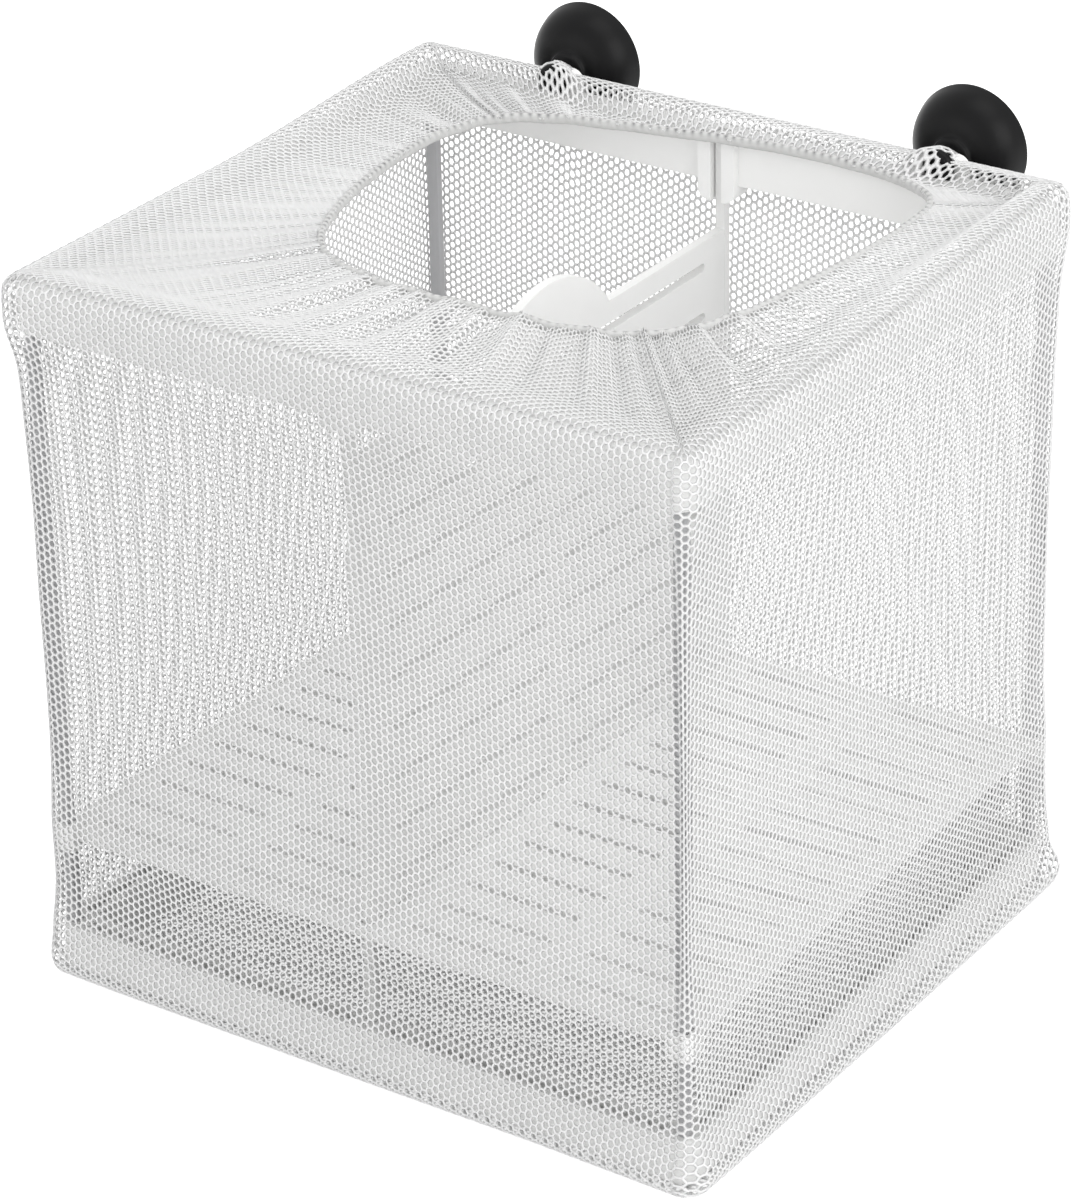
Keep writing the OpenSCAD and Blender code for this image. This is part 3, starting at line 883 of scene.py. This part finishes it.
    @staticmethod
    def raised(flat: np.ndarray, lift: np.ndarray, shape: Any) -> np.ndarray:
        """Places points at a height over the surface.

        Args:
            flat: Column and row of each point.
            lift: Height over the surface, in metres.
            shape: The surface.

        Returns:
            The points, in metres.
        """
        c, r, step = flat[:, 0], flat[:, 1], 0.2
        along_c = shape.point(c + step, r) - shape.point(c - step, r)
        along_r = shape.point(c, r + step) - shape.point(c, r - step)
        normal = np.cross(along_c, along_r)
        normal /= np.maximum(np.linalg.norm(normal, axis=1, keepdims=True), 1e-12)
        return shape.point(c, r) + normal * lift[:, None]


class Panel(Enum):
    """The bag's side walls: each one's first column and the next one's, anticlockwise from the front."""

    FRONT = ("net_front", 1, 112)
    RIGHT = ("net_right", 112, 217)
    REAR = ("net_rear", 217, 328)
    LEFT = ("net_left", 328, 433)


@dataclass
class NetBag:
    """The net bag with its gathered cover, bottom and elastic hem."""

    finishes: Finishes
    shape: BagShape = field(default_factory=BagShape)
    net: HexNet = field(default_factory=HexNet)
    # half the width of the gap in the net round a cup's neck, and from where on the net counts as the rear
    neck_gap: float = 2.9
    rear_y: float = 74.5
    # the hem's stitches are this far apart, and its band is this high and wide
    stitch: float = 2.0
    band_h: float = 2.2
    band_w: float = 1.3
    band_sides: int = 16
    steps_per_stitch: int = 6
    # how square the band's corners are, outwards and upwards: a power of 1 is an ellipse
    band_power: tuple[float, float] = (0.7, 0.8)
    # what every ruffle adds to its width, as a share; its height between the ruffles and what they add to
    # that; and how far it lies under the cover's edge, all three as shares of band_h
    band_swell: float = 0.16
    band_rise: tuple[float, float] = (0.97, 0.05)
    band_drop: float = 0.25
    # where the dark stitch dots, painted as shade in the creases between ruffles, lie round the band, in half
    # turns, and how wide they are, in radians
    seam_at: float = 0.62
    seam_w: float = 0.75
    # the painted stitch shade is patchy: the lengths of two waves in millimetres, and the faintest stitch's
    # share
    patch_mm: tuple[float, float] = (17, 29)
    faintest: float = 0.45
    # how many points are averaged each way along the hem's height
    hem_soft: int = 20
    # the cover's depth as cut, from the ring's edge to the hem where it is deepest, in metres
    deepest: float = 0.05

    def build(self) -> list[bpy.types.Object]:
        """Builds every net piece and the hem.

        Returns:
            The pieces, each riding on the frame.
        """
        pieces = [self.wall(panel) for panel in Panel]
        pieces.append(self.bottom())
        hem = self.hem()
        pieces.append(self.cover())
        return pieces + [hem]

    def hung(self, piece: bpy.types.Object, node: str, slot: Slot) -> bpy.types.Object:
        """Dresses a piece, shows it instead of its CAD node and lets it ride on the frame.

        Args:
            piece: The mesh object.
            node: The CAD node that it stands for.
            slot: The record's slot that it takes its finish from.

        Returns:
            The same piece.
        """
        self.finishes.dress(piece, slot)
        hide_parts(node)
        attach(piece, "frame")
        report(piece)
        return piece

    def held_open(self, cells: np.ndarray) -> np.ndarray:
        """Drops the cells where a cup's neck or head comes through the net.

        Args:
            cells: Column and row number of each cell.

        Returns:
            The cells that stay.
        """
        centre = cells + np.stack([np.zeros(len(cells)), 0.5 * (cells[:, 0] % 2)], 1)
        p = self.shape.point(centre[:, 0], centre[:, 1]) / MM
        gone = np.zeros(len(cells), bool)
        for cx in self.shape.cup_x:
            for cz in self.shape.cup_z:
                near = np.hypot(p[:, 0] - cx, p[:, 2] - cz) < self.neck_gap
                gone |= near & (p[:, 1] > self.rear_y)
        return cells[~gone]

    def wall(self, panel: Panel) -> bpy.types.Object:
        """Knits one side wall.

        Args:
            panel: Which wall.

        Returns:
            The wall's net.
        """
        name, first, last = panel.value
        i, j = np.meshgrid(np.arange(first, last), np.arange(0, self.shape.wall_rows), indexing="ij")
        cells = np.stack([i.ravel(), j.ravel()], 1)
        piece = self.hung(self.net.knit(name + "_mesh", self.held_open(cells), self.shape), name, Slot.NET)
        return piece

    def bottom(self) -> bpy.types.Object:
        """Knits the net across the bottom.

        Returns:
            The bottom's net.
        """
        shape = FlatShape()
        piece = self.hung(self.net.knit("net_bottom_mesh", shape.cells(), shape), "net_bottom", Slot.NET)
        return piece

    def cover(self) -> bpy.types.Object:
        """Knits the gathered cover between the upper ring and the hem.


        Returns:
            The cover's net.
        """
        columns, row = self.shape.columns, self.shape.row * MM
        longest = int(self.shape.cover_length(np.arange(columns, dtype=float)).max() / row) + 2
        first = self.shape.wall_rows
        i, j = np.meshgrid(np.arange(columns), np.arange(first, first + longest), indexing="ij")
        cells = np.stack([i.ravel(), j.ravel()], 1)
        run = (cells[:, 1] + 0.5 * (cells[:, 0] % 2)) * row - self.shape.side_at[-1]
        length = self.shape.cover_length(cells[:, 0].astype(float))
        cells = self.held_open(cells[run < length - 0.1 * MM])
        piece = self.net.knit("net_cover_mesh", cells, self.shape, wrap=columns)
        self.hung(piece, "net_top_cover", Slot.NET)
        return piece

    def hem(self) -> bpy.types.Object:
        """Makes the elastic hem, a band on edge with a row of stitches along its top, painted as dark shade
        dots in the creases between ruffles.

        Returns:
            The hem.
        """
        centre, out, s = self.hem_line()
        height = self.hem_height(centre)
        ruffle = 0.5 - 0.5 * np.cos(2 * math.pi / self.steps_per_stitch * np.arange(len(s)))
        steps, sides = len(s), self.band_sides
        a = np.arange(sides) / sides * 2 * math.pi
        ring_out, ring_up = (
            np.sign(turn) * np.abs(turn) ** power * 0.5 * size * MM
            for turn, power, size
            in zip((np.cos(a), np.sin(a)), self.band_power, (self.band_w, self.band_h))
        )
        sway = 1 + self.band_swell * ruffle[:, None]
        rise = self.band_rise[0] + self.band_rise[1] * ruffle[:, None]
        level = height[:, None] - self.band_drop * self.band_h * MM + ring_up[None] * rise
        points = np.concatenate([
            centre[:, None] + out[:, None] * (ring_out[None] * sway)[..., None], level[..., None],
        ], 2).reshape(-1, 3)
        grid = np.arange(steps * sides).reshape(steps, sides)
        right, up = np.roll(grid, -1, 1), np.roll(grid, -1, 0)
        faces = np.stack([grid, right, np.roll(up, -1, 1), up], -1).reshape(-1, 4)
        hem = mesh_object("elastic_hem_band", points, [self.outwards(points, faces)])
        self.paint_stitch_shade(hem, a, s, ruffle)
        hem.data.polygons.foreach_set("use_smooth", np.ones(len(hem.data.polygons), bool))
        return self.hung(hem, "elastic_hem", Slot.HEM)

    def hem_line(self) -> tuple[np.ndarray, np.ndarray, np.ndarray]:
        """Steps evenly along the middle of the hem, a whole number of stitches round.

        Returns:
            x and y of each step, the direction out of the mouth there, and the distance along the mouth.
        """
        mouth = self.shape.mouth
        loop = mouth.path
        tangent = np.roll(loop, -1, 0) - np.roll(loop, 1, 0)
        tangent /= np.linalg.norm(tangent, axis=1, keepdims=True)
        side = np.stack([-tangent[:, 1], tangent[:, 0]], 1)
        if (side * (loop - loop.mean(0))).sum() < 0:
            side = -side
        strides = np.linalg.norm(np.diff(np.vstack([loop, loop[:1]]), axis=0), axis=1)
        at = np.concatenate([[0], np.cumsum(strides)])
        steps = round(at[-1] / (self.stitch * MM)) * self.steps_per_stitch
        s = np.arange(steps) / steps * at[-1]

        def along(values: np.ndarray) -> np.ndarray:
            """Reads a loop's values at the even steps."""
            closed = np.vstack([values, values[:1]])
            return np.stack([np.interp(s, at, closed[:, i]) for i in range(closed.shape[1])], 1)

        centre, out = along(loop + side * 0.5 * mouth.hem_w * MM), along(side)
        return centre, out / np.linalg.norm(out, axis=1, keepdims=True), s

    def paint_stitch_shade(self, hem: bpy.types.Object, a: np.ndarray, s: np.ndarray, ruffle: np.ndarray) -> None:
        """Writes how light each of the hem's points is: painted shade at the stitches, in the creases between
        ruffles, some darker than others.

        Args:
            hem: The hem.
            a: Each point's angle round the band.
            s: Each step's distance along the mouth.
            ruffle: How far the hem swells at each step, from 0 at a stitch to 1.
        """
        p = self.shape.phases
        turns = 2 * math.pi * s / MM
        one, other = self.patch_mm
        patchy = 0.5 + 0.5 * np.sin(turns / one + p[8]) * np.sin(turns / other + p[9])
        seam = np.exp(-(((a - self.seam_at * math.pi) / self.seam_w) ** 2))[None]
        # painted shade: dark dots at the pinches between ruffles, where the stitches sit
        dark = (1 - ruffle) ** 2 * (self.faintest + (1 - self.faintest) * patchy)
        shade = 1 - seam * dark[:, None]
        shade = np.clip(shade, 0, 1).ravel().astype(np.float32)
        hem.data.attributes.new("ruffle", "FLOAT", "POINT").data.foreach_set("value", shade)

    def hem_height(self, centre: np.ndarray) -> np.ndarray:
        """Finds the height of the hem, which follows the cover's folds.

        Args:
            centre: x and y of each step along the hem.

        Returns:
            Each step's height, in metres.
        """
        cx, cy = (c * MM for c in self.shape.mouth.centre)
        angle_at = np.arctan2(centre[:, 1] - cy, centre[:, 0] - cx)
        columns = np.linspace(0, self.shape.columns, 4 * self.shape.columns, endpoint=False)
        top = np.full_like(columns, self.shape.side_at[-1] / (self.shape.row * MM))
        edge = self.shape.point(columns, top)
        angles = np.arctan2(edge[:, 1] - cy, edge[:, 0] - cx)
        lengths = self.shape.cover_length(columns)
        end = self.shape.point(columns, (self.shape.side_at[-1] + lengths * 0.99) / (self.shape.row * MM))
        order = np.argsort(angles)
        z = np.interp(angle_at, angles[order], end[order, 2], period=2 * math.pi)
        span = self.hem_soft
        weights = np.hanning(2 * span + 1)
        wide = np.concatenate([z[-span:], z, z[:span]])
        return np.convolve(wide, weights / weights.sum(), "valid")

    @staticmethod
    def outwards(points: np.ndarray, faces: np.ndarray) -> np.ndarray:
        """Turns a closed tube's faces over if its volume comes out negative.

        Args:
            points: The vertices.
            faces: Four vertex numbers for each face.

        Returns:
            The faces, facing outwards.
        """
        a, b, c, d = (points[faces[:, k]] for k in range(4))
        volume = (np.cross(a, b) * c).sum() + (np.cross(a, c) * d).sum()
        return faces if volume > 0 else faces[:, ::-1]


# ---- moulded and rubber parts


@dataclass
class MouldedParts:
    """The rings, posts, floor and divider, which keep their modelled shapes."""

    finishes: Finishes
    plastic: tuple[str, ...] = ("top_ring", "bottom_ring", "floor_grid")
    divider: tuple[str, ...] = ("divider_panel",)
    posts: tuple[str, ...] = ("post_front_left", "post_front_right", "post_rear_left", "post_rear_right")

    def dress(self) -> None:
        """Gives every moulded node its finish."""
        groups = (
            (self.plastic, self.finishes.built[Slot.PLASTIC]),
            (self.divider, self.finishes.divider.material()),
            (self.posts, self.finishes.built[Slot.POST]),
        )
        for names, skin in groups:
            for name in names:
                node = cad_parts[name]
                node.data.materials.clear()
                node.data.materials.append(skin)
                report(node)


@dataclass
class SuctionCups:
    """The four rubber cups: a mushroom head, a neck, a collar and a full round dome with a hollow face."""

    finishes: Finishes
    shape: BagShape = field(default_factory=BagShape)
    # y of the head's end, inside the box, and how many corners each ring has before it is smoothed
    start_y: float = 71.2
    segments: int = 64
    # radius and distance from the head's end, round the outside to the rim and back into the hollow
    outline: tuple[tuple[float, float], ...] = (
        (2.4, 0.0), (3.3, 0.2), (3.75, 0.8), (3.8, 1.5), (3.6, 2.1), (2.9, 2.3), (2.25, 2.5), (2.2, 3.4),
        (2.2, 5.2), (2.5, 5.9), (4.2, 6.0), (4.6, 6.3), (4.65, 6.9), (5.0, 7.25), (5.8, 7.35), (7.2, 7.6),
        (9.0, 8.3), (10.8, 9.5), (12.2, 11.1), (13.1, 12.8), (13.55, 14.3), (13.85, 15.2), (14.0, 15.75),
        (13.9, 15.97), (13.4, 16.0), (12.5, 15.7), (10.8, 13.6), (8.0, 11.3), (4.5, 9.8), (1.2, 9.4),
    )

    def build(self) -> list[bpy.types.Object]:
        """Models one cup, then copies it to the four ears.

        Returns:
            The four cups, each riding on its own body.
        """
        pattern = self.turned()
        pieces = []
        for side, x in zip(("left", "right"), self.shape.cup_x):
            for level, z in zip(("bottom", "top"), self.shape.cup_z):
                name = f"cup_{level}_{side}"
                piece = bpy.data.objects.new(name + "_rubber", pattern.data.copy())
                bpy.context.scene.collection.objects.link(piece)
                piece.data.transform(Matrix.Translation((x * MM, 0, z * MM)))
                self.finishes.dress(piece, Slot.RUBBER)
                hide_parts("suction_" + name)
                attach(piece, name)
                report(piece)
                pieces.append(piece)
        bpy.data.objects.remove(pattern)
        return pieces

    def turned(self) -> bpy.types.Object:
        """Draws the outline out of a disc ring by ring, turns the cup to the rear and smooths it.

        Returns:
            One cup on the frame's middle line, at the height of the origin.
        """
        deselect()
        radius, level = self.outline[0]
        bpy.ops.mesh.primitive_circle_add(
            vertices=self.segments, radius=radius * MM, fill_type="NGON", location=(0, 0, 0)
        )
        cup = bpy.context.object
        bpy.ops.object.mode_set(mode="EDIT")
        bpy.ops.mesh.select_mode(type="FACE")
        bpy.ops.mesh.select_all(action="SELECT")
        for wide, far in self.outline[1:]:
            bpy.ops.mesh.extrude_region_move(TRANSFORM_OT_translate={"value": (0, 0, (far - level) * MM)})
            share = wide / radius
            bpy.ops.transform.resize(value=(share, share, 1), center_override=(0, 0, far * MM))
            radius, level = wide, far
        bpy.ops.mesh.select_all(action="SELECT")
        bpy.ops.mesh.normals_make_consistent(inside=False)
        bpy.ops.object.mode_set(mode="OBJECT")
        backwards = Matrix.Rotation(math.radians(-90), 4, "X")
        cup.data.transform(Matrix.Translation((0, self.start_y * MM, 0)) @ backwards)
        rounding = cup.modifiers.new("rounding", "SUBSURF")
        rounding.levels = rounding.render_levels = 1
        bpy.ops.object.modifier_apply(modifier=rounding.name)
        bpy.ops.object.shade_smooth()
        return cup


# ---- studio


@dataclass
class Studio:
    """The camera, the white floor and the soft lights."""

    lens: float = 142.504
    sensor: float = 36.0
    eye: tuple[float, float, float] = (0.52182, -0.764345, 0.560585)
    right: tuple[float, float, float] = (0.829356, 0.558382, -0.019433)
    down: tuple[float, float, float] = (0.241858, -0.390147, -0.88842)
    ahead: tuple[float, float, float] = (-0.503659, 0.732117, -0.45862)
    floor_size: float = 12.0
    # how far the floor lies under the box, in millimetres
    floor_gap: float = 0.2
    # the floor's own colour, and what it adds where the camera sees it, so that all but the shadow is white
    paper: str = "F2F2F2"
    glow: float = 0.6
    # the height that the softboxes are aimed at
    aim_z: float = 0.085
    sky: float = 1.0
    # each softbox's name, place, side and power
    lamps: tuple[tuple[str, tuple[float, float, float], float, float], ...] = (
        ("key_softbox_right", (1.75, -0.45, 1.0), 1.4, 13.5),
        ("fill_softbox_front", (-0.6, -1.9, 0.45), 1.4, 4.6),
        ("top_softbox", (0.4, -0.1, 1.9), 1.2, 5.5),
    )

    def build(self) -> None:
        """Sets up the camera, floor, lights and world."""
        self.camera()
        self.floor()
        for name, place, size, power in self.lamps:
            self.softbox(name, place, size, power)
        self.world()
        bpy.context.scene.view_settings.view_transform = "Standard"

    def camera(self) -> None:
        """Places the camera, which looks down at the box's front right corner."""
        data = bpy.data.cameras.new("camera")
        data.sensor_width = self.sensor
        data.lens = self.lens
        data.clip_start, data.clip_end = 0.05, 50
        cam = bpy.data.objects.new("camera", data)
        bpy.context.scene.collection.objects.link(cam)
        turn = Matrix([self.right, [-v for v in self.down], [-v for v in self.ahead]]).transposed().to_4x4()
        cam.matrix_world = Matrix.Translation(self.eye) @ turn
        bpy.context.scene.camera = cam

    def floor(self) -> None:
        """Lays the floor, which looks white to the camera and still takes the object's shadow."""
        deselect()
        bpy.ops.mesh.primitive_plane_add(size=self.floor_size, location=(0, 0, -self.floor_gap * MM))
        plane = bpy.context.object
        plane.name = "studio_floor"
        bpy.ops.object.transform_apply(location=True, scale=True)
        mat, tree = new_material("matt_white_backdrop_paper")
        seen = self.seen_rays(tree)
        paper = add_node(tree, "ShaderNodeBsdfDiffuse", {"Color": srgb(self.paper)})
        glow = add_node(tree, "ShaderNodeEmission", {"Color": (1, 1, 1, 1), "Strength": self.glow})
        both = add_node(tree, "ShaderNodeAddShader", {0: paper.outputs[0], 1: glow.outputs[0]})
        mix = add_node(tree, "ShaderNodeMixShader", {0: seen, 1: paper.outputs[0], 2: both.outputs[0]})
        add_node(tree, "ShaderNodeOutputMaterial", {"Surface": mix.outputs[0]})
        plane.data.materials.append(mat)

    @staticmethod
    def seen_rays(tree: bpy.types.NodeTree) -> bpy.types.NodeSocket:
        """Adds the test for rays that show the background: camera, glossy and transmission rays.

        Args:
            tree: The node tree that gets the test.

        Returns:
            The output that is 1 for such a ray.
        """
        path = add_node(tree, "ShaderNodeLightPath")
        seen = path.outputs["Is Camera Ray"]
        for ray in ("Is Glossy Ray", "Is Transmission Ray"):
            more = add_node(tree, "ShaderNodeMath", {0: seen, 1: path.outputs[ray]}, operation="MAXIMUM")
            seen = more.outputs[0]
        return seen

    def softbox(self, name: str, place: tuple[float, float, float], size: float, power: float) -> None:
        """Hangs one square softbox that faces the object.

        Args:
            name: The lamp's name.
            place: Where it hangs.
            size: The length of its side.
            power: Its power in watts.
        """
        deselect()
        bpy.ops.object.light_add(type="AREA", location=place)
        lamp = bpy.context.object
        lamp.name = name
        lamp.data.size = size
        lamp.data.energy = power
        aim = Vector((0, 0, self.aim_z)) - lamp.location
        lamp.rotation_euler = aim.to_track_quat("-Z", "Y").to_euler()

    def world(self) -> None:
        """Makes the even white surroundings, which light every side alike."""
        world = bpy.data.worlds.new("studio_world")
        bpy.context.scene.world = world
        world.use_nodes = True
        tree = world.node_tree
        tree.nodes.clear()
        white = add_node(tree, "ShaderNodeBackground", {"Color": (1, 1, 1, 1), "Strength": self.sky})
        add_node(tree, "ShaderNodeOutputWorld", {"Surface": white.outputs[0]})


def main() -> None:
    """Builds the whole scene in order."""
    logging.basicConfig(level=logging.INFO, format="%(message)s", stream=sys.stdout)
    Studio().build()
    finishes = Finishes()
    MouldedParts(finishes).dress()
    SuctionCups(finishes).build()
    NetBag(finishes).build()


if __name__ == "__main__":
    main()
